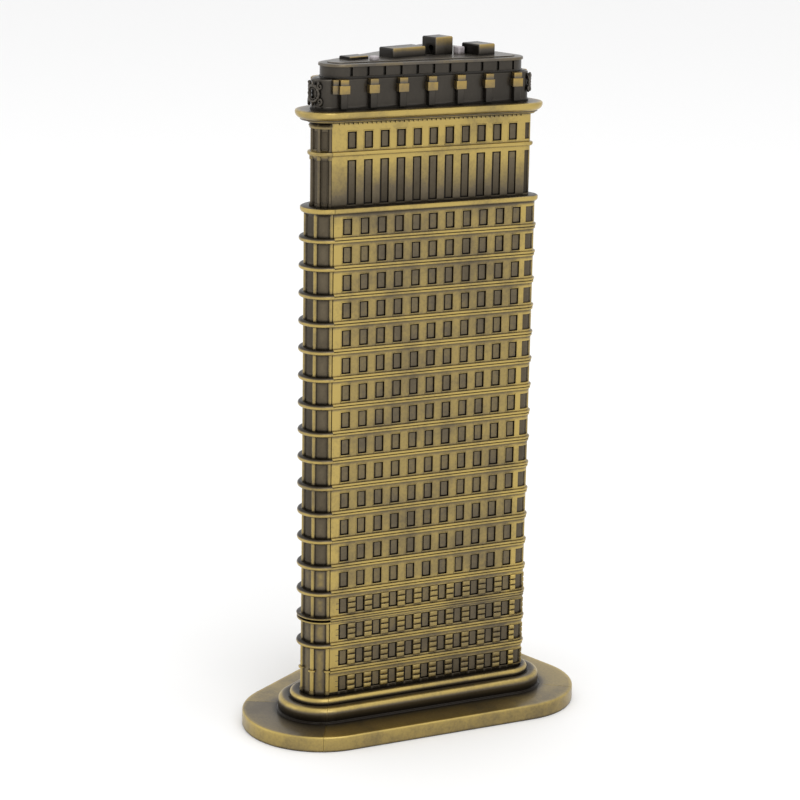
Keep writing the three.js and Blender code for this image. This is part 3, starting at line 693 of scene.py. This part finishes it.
def cornice():
    foot, top = edges("cornice_slab")
    height = top - foot
    build = Build()
    r = CORNICE_RELIEF
    # The tones are painted light: a highlight on the rounded front of the edge, painted shade on its
    # underside, and darker on the top towards the attic.
    slab(build, OUTER_PLAN, [
        (-1.6, -0.28, 0.1), (r - 1.35, -0.28, 0.1), (r - 1.25, 0, 0.4), (r - 1.15, 0.15, 0.8),
        (r - 0.7, 0.35, 0.8), (r - 0.3, 0.75, 0.95), (r - 0.05, 1.25, 1), (r, 1.7, 1),
        (r - 0.1, height - 0.2, 1), (r - 0.35, height - 0.05, 0.95), (r - 0.7, height, 0.7),
        (r - 1.4, height, 0.5), (0.0, height, 0.4), (-1.2, height, 0.2), (-1.9, height, 0.1),
    ], foot)
    return build


def block(build, place, width, inner, outer, foot, top, tones, soft=0.1):
    """A soft-edged block that stands out from the attic; tones are those of its foot and its top."""
    half = width / 2
    rings = [
        (outer - soft * 1.5, foot, 0), (outer - soft * 0.4, foot + soft * 0.4, 0.06),
        (outer, foot + soft * 1.5, 0.15), (outer, (foot + top) / 2, 0.6), (outer, top - soft * 1.5, 1),
        (outer - soft * 0.4, top - soft * 0.4, 1), (outer - soft * 1.5, top, 1),
    ]
    points, shades = [], []
    for reach, height, rise in rings:
        inset = soft * 0.8 if height in (foot, top) else 0
        across = [-half + inset, -half + inset, -half + inset + soft * 0.5, -half + inset + soft * 1.5]
        depth = [inner, reach - soft * 1.5, reach - soft * 0.5, reach]
        across += [-x for x in across[::-1]]
        depth += depth[::-1]
        s = np.full(len(across), place)
        point, out = OUTER_PLAN.at(s)
        along = np.stack([-out[:, 1], out[:, 0]], -1)
        flat = point + out * np.array(depth)[:, None] + along * np.array(across)[:, None]
        points.append(np.column_stack([flat, np.full(len(s), height)]))
        shades.append(np.full(len(s), tones[0] + (tones[1] - tones[0]) * rise))
    stack(build, np.stack(points, 0), np.stack(shades, 0))


def pier_places():
    """The attic's piers on the right side, the rear and the left side, round the outline."""
    plan = OUTER_PLAN
    far = 2 * plan.end
    right = spread(SIDE_PIERS, plan.side + FIRST_PIER, plan.corner - PIER_END)
    rear = spread(REAR_PIERS, plan.rear + PIER_END, far - plan.rear - PIER_END)
    return right + rear + [far - s for s in right]


def attic():
    foot, top = edges("attic_storey")
    height = top - foot
    build = Build()
    slab(build, OUTER_PLAN, [
        (ATTIC + 0.3, -0.3, 0), (ATTIC + 0.3, 0.2, 0), (ATTIC + 0.08, 0.45, 0.1), (ATTIC, 0.7, 0.14),
        (ATTIC, height - 0.6, 0.16), (ATTIC, height - 0.25, 0.2), (ATTIC - 0.05, height - 0.08, 0.3),
        (ATTIC - 0.15, height, 0.15), (ATTIC - 0.3, height, 0), (ATTIC - 0.8, height + 0.28, 0),
    ], foot)
    root = ATTIC - 0.4
    block_edges = (top - BLOCK_FOOT, top - BLOCK_TOP)
    cap_edges = (top - CAP_FOOT, top)
    beside = OUTER_PLAN.side + PROW_BLOCK_PLACE
    for place in (-beside, beside):
        block(build, place, PROW_BLOCK_WIDTH, root, ATTIC + PROW_BLOCK_RELIEF, *block_edges, (0.45, 0.75))
        block(build, place, PROW_CAP_WIDTH, root, ATTIC + PROW_CAP_RELIEF, *cap_edges, (0.1, 0.75))
    pier_edges = (foot + 0.02, top - 0.1)
    for place in pier_places():
        block(build, place, PIER_WIDTH, ATTIC - 0.5, ATTIC + PIER_RELIEF, *pier_edges, (0.02, 0.3), soft=0.16)
        block(build, place, BLOCK_WIDTH, root, ATTIC + BLOCK_RELIEF, *block_edges, (0.75, 1.0))
        block(build, place, CAP_WIDTH, root, ATTIC + CAP_RELIEF, *cap_edges, (0.1, 1.0))
    return build


def parapet():
    """The dark band round the roof: narrow sunk slots under a thin lip."""
    foot, top = edges("parapet")
    plan = PARAPET_PLAN
    wall = Relief(-plan.side, 2 * plan.end - plan.side, foot - 0.3, top, PARAPET, tone=0.16)
    far = 2 * plan.end
    shift = plan.side - (plan.prow_y - PROW_Y) * COS
    right = [shift + at for at in spread(SIDE_COLUMNS, FIRST_SLOT, PLAN.side_length - SLOT_END)]
    inset = plan.rear + plan.corner_x - PLAN.corner_x + SLOT_END
    rear = spread(REAR_COLUMNS, inset, far - inset)
    for place in right + rear + [far - s for s in right]:
        border = (place - SLOT_FRAME_HALF, place + SLOT_FRAME_HALF, foot + 0.3, top - 0.72)
        wall.stamp(*border, 0.06, CRISP, CRISP_SHARE, tone=0.3, raised=True)
        slot = (place - SLOT_HALF, place + SLOT_HALF, foot + 0.4, top - LIP_HEIGHT)
        wall.stamp(*slot, PARAPET - 0.5, CRISP, CRISP_SHARE, tone=0)
    wall.course(foot, [
        (-0.3, PARAPET + 0.25), (0.05, PARAPET + 0.25), (0.2, PARAPET + 0.12), (0.3, PARAPET),
    ], tone=0.02)
    lip = PARAPET + LIP_RELIEF
    wall.course(top - LIP_HEIGHT, [
        (0, PARAPET), (0.04, lip - 0.08), (0.12, lip), (0.6, lip), (0.74, lip - 0.1), (LIP_HEIGHT, lip - 0.3),
    ], tone=0.5)
    round_columns(wall, plan)
    build = Build()
    wall.cast(build, PARAPET - PARAPET_WALL, plan)
    return build


def deck():
    foot, top = edges("roof_deck")
    build = Build()
    edge = PARAPET - PARAPET_WALL - 0.05
    slab(build, PARAPET_PLAN, [
        (edge, foot - top, 0.2), (edge, -0.12, 0.4), (edge - 0.04, -0.03, 0.55), (edge - 0.14, 0, 0.45),
        (edge - 0.6, 0, 0.35),
    ], top)
    return build


def house(node, soft=0.42):
    """A roof house: a cast block with rounded corners and a crowned top; its tone is painted light, bright on
    its right side and brightest towards the top.
    """
    low, high = (np.array(v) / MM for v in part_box(node))
    middle, half = (low + high) / 2, (high - low) / 2
    tall = high[2] - low[2]
    rings = [(0, -0.3, 0), (0, tall * 0.5, 0.5), (0, tall - soft, 0.9)]
    for lean in (0.4, 0.8, 1.2, math.pi / 2):
        rings.append((soft * (1 - math.cos(lean)), tall - soft * (1 - math.sin(lean)), 1))
    turn = np.radians([-90 + 90 * quarter + 22.5 * step for quarter in range(4) for step in range(5)])
    facing = np.column_stack([np.cos(turn), np.sin(turn)])
    corner = np.repeat([(1, -1), (1, 1), (-1, 1), (-1, -1)], 5, axis=0)
    centre = middle[:2] + corner * (half[:2] - soft)
    # Painted light: the tone follows how squarely each side faces the right, and grows towards the top.
    lit = np.clip(np.cos(turn), 0, 1)
    points, shades = [], []
    for inset, height, rise in rings:
        rim = centre + (soft - inset) * facing
        points.append(np.column_stack([rim, np.full(len(turn), low[2] + height)]))
        shades.append(0.95 * rise * lit)
    build = Build()
    stack(build, np.stack(points, 0), np.stack(shades, 0))
    return build


def porthole(node):
    """The cutter for the round hole in the prow side of a roof house."""
    low, high = (np.array(v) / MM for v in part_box(node))
    turn = 2 * np.pi * np.arange(PORTHOLE_SIDES) / PORTHOLE_SIDES
    across = (low[0] + high[0]) / 2 + PORTHOLE_SHIFT + PORTHOLE_RADIUS * np.cos(turn)
    up = low[2] + PORTHOLE_RISE + PORTHOLE_RADIUS * np.sin(turn)
    rows = [
        np.column_stack([across, np.full(PORTHOLE_SIDES, low[1] + reach), up])
        for reach in (PORTHOLE_DEPTH, -0.3)
    ]
    build = Build()
    stack(build, np.stack(rows, 0), np.zeros((2, PORTHOLE_SIDES)))
    return build


def bored(piece, cutter):
    """Cuts one mesh out of another, and leaves the cutter's tone on the cut."""
    scene = bpy.context.scene
    mesh = bpy.data.meshes.new("cutter")
    mesh.from_pydata([tuple(c * MM for c in p) for p in cutter.points], [], cutter.faces)
    tone = mesh.attributes.new("tone", "FLOAT", "POINT")
    tone.data.foreach_set("value", np.array(cutter.tones, np.float32))
    tool = bpy.data.objects.new("cutter", mesh)
    scene.collection.objects.link(tool)
    cut = piece.modifiers.new("hole", "BOOLEAN")
    cut.operation, cut.solver, cut.object = "DIFFERENCE", "EXACT", tool
    piece.modifiers.move(len(piece.modifiers) - 1, 0)
    piece.modifiers["edge shading"].show_viewport = False
    shaped = bpy.data.meshes.new_from_object(piece.evaluated_get(bpy.context.evaluated_depsgraph_get()))
    piece.modifiers.remove(cut)
    piece.modifiers["edge shading"].show_viewport = True
    piece.data = shaped
    bpy.data.objects.remove(tool)


def bar(build, place, base, path, radii, tone, closed=False):
    """A round bar on the attic: its path is (across, up), and base is how far out its middle is."""
    path = np.asarray(path, float)
    if closed:
        tangent = np.roll(path, -1, 0) - np.roll(path, 1, 0)
    else:
        tangent = np.gradient(path, axis=0)
    tangent /= np.linalg.norm(tangent, axis=1)[:, None]
    normal = np.stack([-tangent[:, 1], tangent[:, 0]], -1)
    turn = 2 * np.pi * np.arange(BAR_SIDES) / BAR_SIDES
    radii = np.broadcast_to(radii, len(path))[:, None]
    across = path[:, :1] + normal[:, :1] * np.cos(turn) * radii
    up = path[:, 1:] + normal[:, 1:] * np.cos(turn) * radii
    out = base + np.sin(turn) * radii
    point, facing = OUTER_PLAN.at(place + across)
    points = np.concatenate([point + facing * out[..., None], up[..., None]], -1)
    tones = tone * (0.45 + 0.55 * np.clip(np.sin(turn), 0, 1)) * np.ones_like(radii)
    if closed:
        build.grid(points, tones, loop=True, wrap=True)
    else:
        stack(build, points, tones)


def scroll(middle, start, reach, turns, side):
    """A spiral that winds inwards."""
    t = np.linspace(0, 1, 26)
    angle = start + side * 2 * np.pi * turns * t
    radius = reach * (1 - 0.8 * t)
    return np.stack([middle[0] + radius * np.cos(angle), middle[1] + radius * np.sin(angle)], -1)


def cartouche(node, place, wide=1.0):
    """An oval frame with a scroll at each quarter, a crest and a drop; wide spreads it along the round."""
    foot, top = edges(node)
    middle, half = (foot + top) / 2, (top - foot) / 2
    build = Build()
    base = ATTIC + 0.55
    tall = half / 2.6
    t = np.linspace(0, 2 * np.pi, 48, endpoint=False)
    for lift, width, height, radii, tone in (
        (0, 1.2, 1.6, tall * (0.36 + 0.06 * np.cos(12 * t)), 0.3), (0.05, 0.76, 1.08, 0.17, 0.25),
    ):
        oval = np.stack([wide * width * np.cos(t), middle + tall * height * np.sin(t)], -1)
        bar(build, place, base + lift, oval, radii, tone, closed=True)
    taper = tall * np.linspace(0.36, 0.17, 26)
    for side in (-1, 1):
        for up in (-1, 1):
            centre = (side * 1.38 * wide, middle + up * (half - 1.1 * tall))
            bar(build, place, base, scroll(centre, math.pi / 2 * up, 0.66 * tall, 1.2, side), taper, 0.28)
    for up in (-1, 1):
        path = np.array([(0, middle + up * (half - reach)) for reach in (0.95, 0.6, 0.25)])
        bar(build, place, base + 0.05, path, np.array([0.46, 0.4, 0.2]), 0.4)
    return build


def felt():
    """The felt let into the underside, with soft pressed edges."""
    foot, top = edges("base_felt")
    edge = BASE_MARGIN - FELT_MARGIN
    build = Build()
    slab(build, OUTER_PLAN, [
        (edge - 0.5, foot, 0.9), (edge - 0.15, foot + 0.06, 0.8), (edge, foot + 0.3, 0.6),
        (edge, top - 0.1, 0.5), (edge - 0.2, top, 0.5),
    ], 0)
    return build


# ---- materials ----

def hue(code):
    """An sRGB hex colour as linear light."""
    parts = [int(code[i:i + 2], 16) / 255 for i in (0, 2, 4)]
    return tuple(c / 12.92 if c <= 0.04045 else ((c + 0.055) / 1.055) ** 2.4 for c in parts) + (1.0,)


def per(size):
    """The scale of a pattern whose repeat is size millimetres."""
    return 1 / (size * MM)


def add(tree, kind, inputs=None, **settings):
    """Adds a node with its settings, and gives its sockets values or links."""
    made = tree.nodes.new(kind)
    for name, value in settings.items():
        setattr(made, name, value)
    for socket, value in (inputs or {}).items():
        if isinstance(value, bpy.types.NodeSocket):
            tree.links.new(value, made.inputs[socket])
        else:
            made.inputs[socket].default_value = value
    return made


def blank(name):
    """A new material and its empty tree."""
    material = bpy.data.materials.new(name)
    material.use_nodes = True
    material.node_tree.nodes.clear()
    return material, material.node_tree


def plate(name, black, middle, bright, streak, rough):
    """Metal blackened and then rubbed bright: tone 0 is the black left in the hollows, 1 the rubbed metal;
    the tones also carry painted highlights and painted shade from the mouldings and roof houses.
    """
    material, tree = blank(name)
    place = add(tree, "ShaderNodeTexCoord").outputs["Object"]
    tone = add(tree, "ShaderNodeAttribute", attribute_name="tone").outputs["Fac"]
    hollow = add(tree, "ShaderNodeAmbientOcclusion", {"Distance": 0.9 * MM}, samples=6).outputs["AO"]
    open_part = add(tree, "ShaderNodeMapRange", {
        "Value": hollow, "From Min": 0.25, "From Max": 0.8,
    }).outputs[0]
    cloud = add(tree, "ShaderNodeTexNoise", {
        "Vector": place, "Scale": per(13), "Detail": 5.0, "Roughness": 0.6,
    }).outputs[0]
    fleck = add(tree, "ShaderNodeTexNoise", {"Vector": place, "Scale": per(0.7), "Detail": 3.0}).outputs[0]
    drawn = add(tree, "ShaderNodeMapping", {"Vector": place, "Scale": streak}).outputs[0]
    brush = add(tree, "ShaderNodeTexNoise", {"Vector": drawn, "Scale": per(0.35), "Detail": 2.0}).outputs[0]
    dimming = add(tree, "ShaderNodeMapRange", {
        "Value": cloud, "From Min": 0.3, "From Max": 0.56, "To Min": 0.66,
    }).outputs[0]
    fine = add(tree, "ShaderNodeMapRange", {
        "Value": fleck, "From Min": 0.3, "From Max": 0.6, "To Min": 0.88,
    }).outputs[0]
    level = add(tree, "ShaderNodeMath", {0: tone, 1: dimming}, operation="MULTIPLY").outputs[0]
    level = add(tree, "ShaderNodeMath", {0: level, 1: fine}, operation="MULTIPLY").outputs[0]
    level = add(tree, "ShaderNodeMath", {0: level, 1: open_part}, operation="MULTIPLY").outputs[0]
    low = add(tree, "ShaderNodeMapRange", {"Value": level, "From Max": 0.4}).outputs[0]
    high = add(tree, "ShaderNodeMapRange", {"Value": level, "From Min": 0.4, "From Max": 0.9}).outputs[0]
    dark = add(tree, "ShaderNodeMix", {0: low, 6: hue(black), 7: hue(middle)}, data_type="RGBA").outputs[2]
    colour = add(tree, "ShaderNodeMix", {0: high, 6: dark, 7: hue(bright)}, data_type="RGBA").outputs[2]
    grain = add(tree, "ShaderNodeMath", {0: brush, 1: 0.7}, operation="MULTIPLY").outputs[0]
    grain = add(tree, "ShaderNodeMath", {0: grain, 1: fleck}, operation="ADD").outputs[0]
    bump = add(tree, "ShaderNodeBump", {"Height": grain, "Strength": 0.25, "Distance": 0.05 * MM}).outputs[0]
    gloss = add(tree, "ShaderNodeMapRange", {
        "Value": level, "To Min": rough[0], "To Max": rough[1],
    }).outputs[0]
    shader = add(tree, "ShaderNodeBsdfPrincipled", {
        "Base Color": colour, "Metallic": 1.0, "Roughness": gloss, "Normal": bump,
        "Coat Weight": 0.25, "Coat Roughness": 0.12,
    })
    add(tree, "ShaderNodeOutputMaterial", {"Surface": shader.outputs[0]})
    return material


def painted(name, colour, shade):
    """Matt enamel, sprayed thin: an even skin with a fine orange peel, mottled in cloudy patches, with
    painted shade in the hollows.
    """
    material, tree = blank(name)
    place = add(tree, "ShaderNodeTexCoord").outputs["Object"]
    hollow = add(tree, "ShaderNodeAmbientOcclusion", {"Distance": 0.8 * MM}, samples=6).outputs["AO"]
    cloud = add(tree, "ShaderNodeTexNoise", {"Vector": place, "Scale": per(2.5), "Detail": 3.0}).outputs[0]
    peel = add(tree, "ShaderNodeTexNoise", {"Vector": place, "Scale": per(0.25)}).outputs[0]
    mixed = add(tree, "ShaderNodeMath", {0: hollow, 1: cloud}, operation="MULTIPLY").outputs[0]
    level = add(tree, "ShaderNodeMapRange", {"Value": mixed, "From Min": 0.15, "From Max": 0.5}).outputs[0]
    tint = add(tree, "ShaderNodeMix", {0: level, 6: hue(shade), 7: hue(colour)}, data_type="RGBA").outputs[2]
    bump = add(tree, "ShaderNodeBump", {"Height": peel, "Strength": 0.2, "Distance": 0.04 * MM}).outputs[0]
    shader = add(tree, "ShaderNodeBsdfPrincipled", {"Base Color": tint, "Roughness": 0.55, "Normal": bump})
    add(tree, "ShaderNodeOutputMaterial", {"Surface": shader.outputs[0]})
    return material


def wool_felt(name, colour, shade):
    """Pressed wool: a matt nap of short crossed fibres with a soft sheen."""
    material, tree = blank(name)
    place = add(tree, "ShaderNodeTexCoord").outputs["Object"]
    fibre = add(tree, "ShaderNodeTexNoise", {
        "Vector": place, "Scale": per(0.5), "Detail": 5.0, "Distortion": 1.5,
    }).outputs[0]
    tint = add(tree, "ShaderNodeMix", {0: fibre, 6: hue(shade), 7: hue(colour)}, data_type="RGBA").outputs[2]
    bump = add(tree, "ShaderNodeBump", {"Height": fibre, "Strength": 0.6, "Distance": 0.15 * MM}).outputs[0]
    shader = add(tree, "ShaderNodeBsdfPrincipled", {
        "Base Color": tint, "Roughness": 0.95, "Sheen Weight": 0.4, "Normal": bump,
    })
    add(tree, "ShaderNodeOutputMaterial", {"Surface": shader.outputs[0]})
    return material


def paper_sweep(name, colour):
    """White paper sweep: matt, with the faintest tooth."""
    material, tree = blank(name)
    place = add(tree, "ShaderNodeTexCoord").outputs["Object"]
    tooth = add(tree, "ShaderNodeTexNoise", {"Vector": place, "Scale": per(1.2), "Detail": 2.0}).outputs[0]
    bump = add(tree, "ShaderNodeBump", {"Height": tooth, "Strength": 0.05, "Distance": 0.05 * MM}).outputs[0]
    shader = add(tree, "ShaderNodeBsdfPrincipled", {
        "Base Color": hue(colour), "Roughness": 0.8, "Normal": bump,
    })
    add(tree, "ShaderNodeOutputMaterial", {"Surface": shader.outputs[0]})
    return material


# ---- the model ----

BRASS = plate("antique brass plate", "150f08", "625846", "b29b59", (1, 1, 0.06), (0.5, 0.36))
DARK_BRASS = plate("black-patinated brass plate", "26231f", "5d574e", "a08850", (1, 1, 0.06), (0.45, 0.4))
GREY_PAINT = painted("pale grey enamel", "aea7a9", "5a5351")
FELT = wool_felt("dark green wool felt", "22382b", "0b150f")
SOLDER = plate("dull tin solder", "2a2a28", "6c6c68", "a5a59f", (1, 1, 1), (0.6, 0.45))

side = side_facade()
make("side_wall_right", side, BRASS, ["wall_right"])
make("side_wall_left", mirrored(side), BRASS, ["wall_left"])
make("rear_wall", rear_facade(), BRASS, ["wall_rear"])
make("rounded_prow", prow_facade(), BRASS, ["wall_prow"])
side = base_casting("right")
make("base_side_right", side, BRASS, ["base_right"])
make("base_side_left", mirrored(side), BRASS, ["base_left"])
make("base_front", base_casting("prow"), BRASS, ["base_prow"])
make("base_back", base_casting("rear"), BRASS, ["base_rear"])
make("felt_pad", felt(), FELT, ["base_felt"])
make("cornice", cornice(), BRASS, ["cornice_slab"])
make("attic", attic(), DARK_BRASS, ["attic_storey"])
make("parapet_band", parapet(), DARK_BRASS, ["parapet"])
make("deck", deck(), DARK_BRASS, ["roof_deck"])
for node in ("low_skylight", "long_skylight", "lift_house", "stair_house"):
    casting = make(node + "_casting", house(node), DARK_BRASS, [node])
    if node == "lift_house":
        bored(casting, porthole(node))
for node in ("front_vent", "rear_vent"):
    make(node + "_box", house(node, soft=0.3), GREY_PAINT, [node])
joint = OUTER_PLAN.joint
frames = [("cartouche_prow", 0, 2.0), ("cartouche_right", joint, 1), ("cartouche_left", -joint, 1)]
for node, place, wide in frames:
    make(node + "_frame", cartouche(node, place, wide), DARK_BRASS, [node])
for name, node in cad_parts.items():
    if name.startswith("solder"):
        node.data.materials.clear()
        node.data.materials.append(SOLDER)

# ---- floor, light and camera ----

floor = bpy.data.meshes.new("sweep")
floor.from_pydata([(-4, -4, 0), (4, -4, 0), (4, 4, 0), (-4, 4, 0)], [], [(0, 1, 2, 3)])
floor.materials.append(paper_sweep("white paper sweep", "f4f4f4"))
sweep = bpy.data.objects.new("sweep", floor)
bpy.context.scene.collection.objects.link(sweep)

world = bpy.data.worlds.new("studio")
world.use_nodes = True
world.node_tree.nodes["Background"].inputs[0].default_value = (1, 1, 1, 1)
world.node_tree.nodes["Background"].inputs[1].default_value = 1.0
bpy.context.scene.world = world
bpy.context.scene.view_settings.view_transform = "Standard"


def softbox(name, place, target, size, power):
    """A square diffused light that faces the model."""
    light = bpy.data.lights.new(name, "AREA")
    light.size, light.energy = size, power
    lamp = bpy.data.objects.new(name, light)
    lamp.location = place
    lamp.rotation_mode = "QUATERNION"
    lamp.rotation_quaternion = (Vector(target) - Vector(place)).to_track_quat("-Z", "Y")
    bpy.context.scene.collection.objects.link(lamp)


HEART = (0, 0, 0.09)
softbox("key", (1.0, -0.35, 0.75), HEART, 0.7, 3.5)
softbox("fill", (-0.7, -0.9, 0.5), HEART, 0.8, 1.5)
softbox("top", (0.1, 0.2, 1.4), HEART, 1.0, 3)

camera = bpy.data.cameras.new("camera")
camera.sensor_width, camera.lens = 36, 110.29
camera.clip_start, camera.clip_end = 0.05, 20
eye = bpy.data.objects.new("camera", camera)
right = Vector((0.66583, 0.74598, 0.0167))
forward = Vector((-0.71866, 0.64708, -0.2546))
up = right.cross(forward)
turned = Matrix((right, up, -forward)).transposed().to_4x4()
eye.matrix_world = Matrix.Translation(Vector((470.25, -421.66, 251.73)) * MM) @ turned
bpy.context.scene.collection.objects.link(eye)
bpy.context.scene.camera = eye
